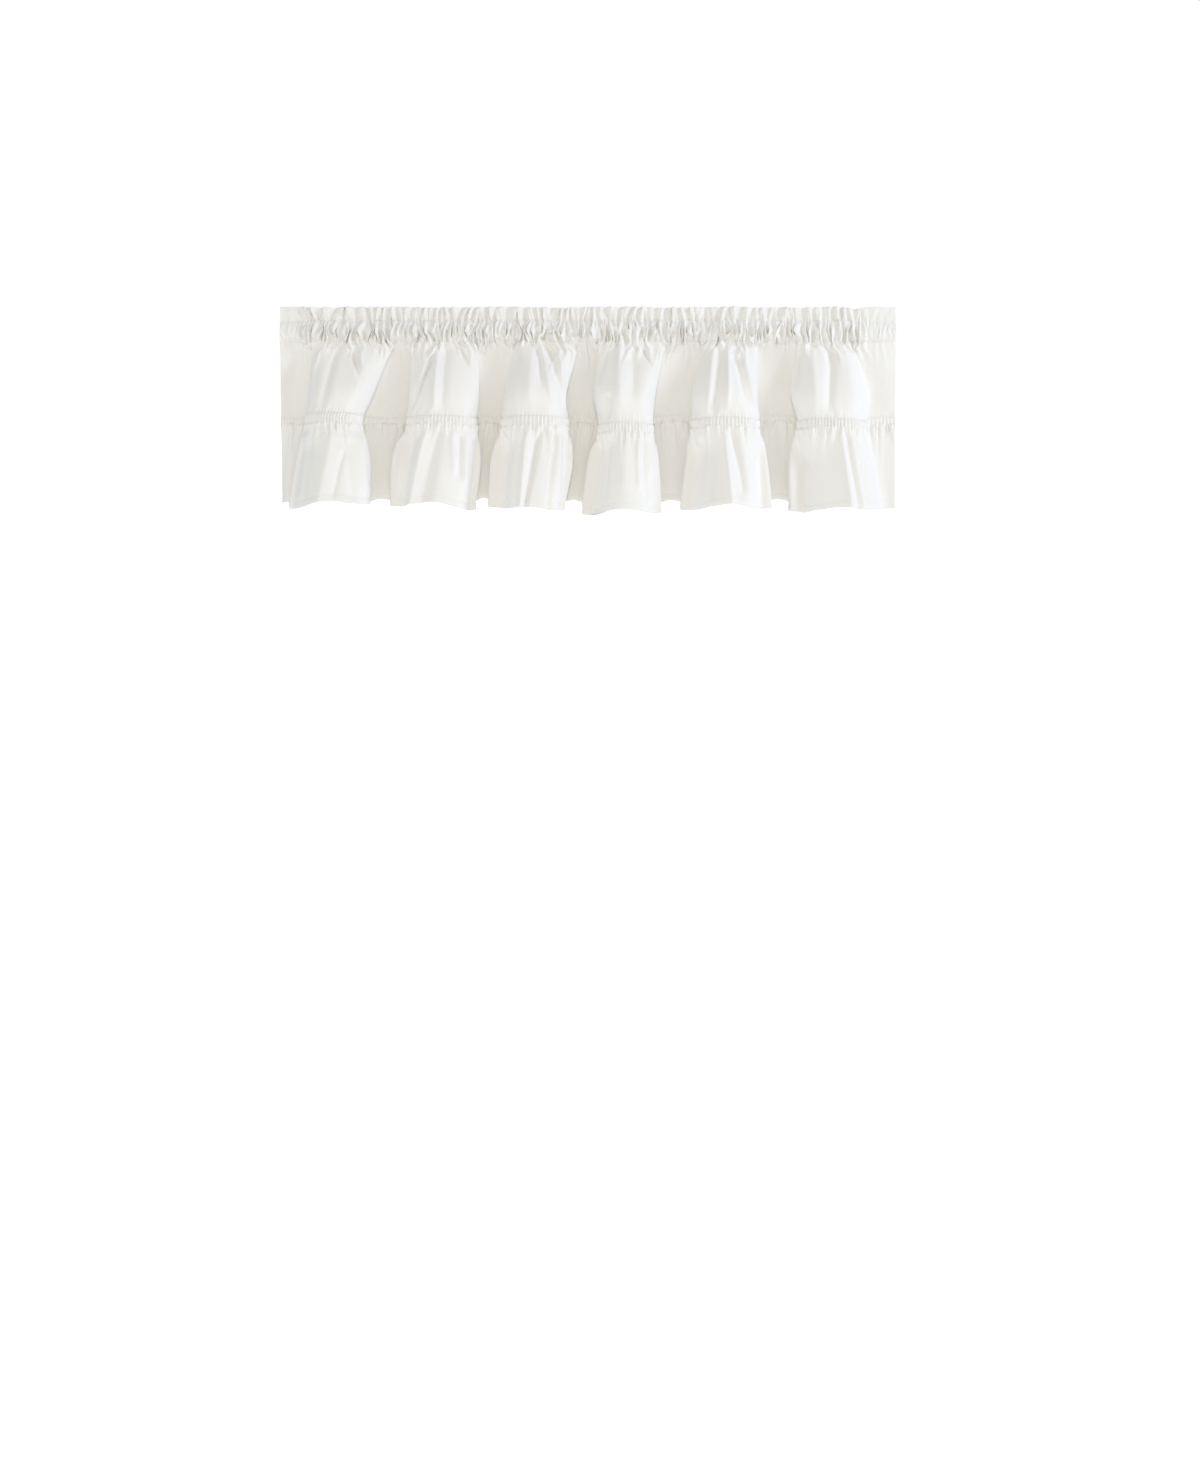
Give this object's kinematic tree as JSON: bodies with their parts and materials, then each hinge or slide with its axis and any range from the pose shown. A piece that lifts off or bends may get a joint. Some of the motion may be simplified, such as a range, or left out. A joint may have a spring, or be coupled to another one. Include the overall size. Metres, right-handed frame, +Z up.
{
  "type": "window valance",
  "caption": "Gathered cloth valance with a pleated header, an open rod pocket, a fluted body and a shirred, flared ruffle with a narrow hem",
  "frame": {"origin": "the middle of the header's top edge, in the plane of the rod's axis", "axes": "+X runs along the rod to the right as seen from the room, +Y goes back to the window, +Z is up; the front faces -Y"},
  "size_m": [1.0584, 0.0802, 0.3604],
  "materials": {
    "heading_cotton": "matte plain weave",
    "body_cotton": "matte plain weave",
    "ruffle_cotton": "matte plain weave"
  },
  "bodies": {
    "root": {"heading": "heading_cotton", "body": "body_cotton", "ruffle": "ruffle_cotton"}
  },
  "joints": []
}
